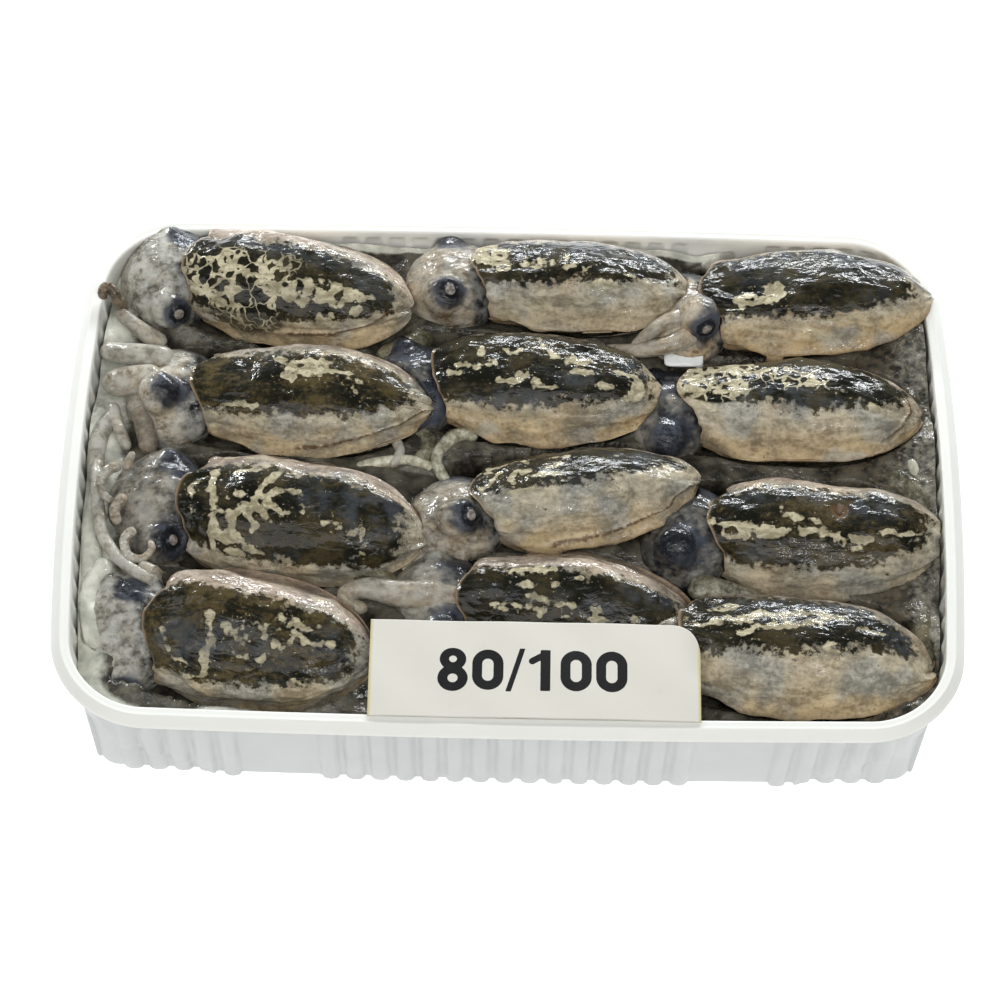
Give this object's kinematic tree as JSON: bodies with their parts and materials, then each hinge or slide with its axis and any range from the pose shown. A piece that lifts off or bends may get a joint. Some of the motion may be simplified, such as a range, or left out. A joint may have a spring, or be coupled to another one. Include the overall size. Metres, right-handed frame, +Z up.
{
  "type": "whole raw cuttlefish in a tray",
  "caption": "Ribbed white plastic tray packed with rows of whole raw cuttlefish, dark mottled backs up, with a paper size label.",
  "frame": {"origin": "middle of the tray's base, on the surface it stands on", "axes": "+X along the tray's length, from the animals' heads towards their tails; +Y to the back row; +Z up"},
  "size_m": [0.3, 0.2, 0.0657],
  "materials": {
    "tray_plastic": "smooth white moulded plastic, a little glossy",
    "glaze": "grey-brown flesh and frozen juice, wet and glossy",
    "skin": "wet skin: near-black backs with cream blotches, over grey-tan flanks",
    "paper": "off-white paper with plain black numerals, edges slightly yellowed",
    "white_chip": "smooth white flake"
  },
  "bodies": {
    "root": {"tray": "tray_plastic", "bed": "glaze", "cuttlefish_1a": "skin", "cuttlefish_1b": "skin", "cuttlefish_1c": "skin", "cuttlefish_2a": "skin", "cuttlefish_2b": "skin", "cuttlefish_2c": "skin", "cuttlefish_3a": "skin", "cuttlefish_3b": "skin", "cuttlefish_3c": "skin", "cuttlefish_4a": "skin", "cuttlefish_4b": "skin", "cuttlefish_4c": "skin", "label": "paper", "chip": "white_chip"}
  },
  "joints": []
}
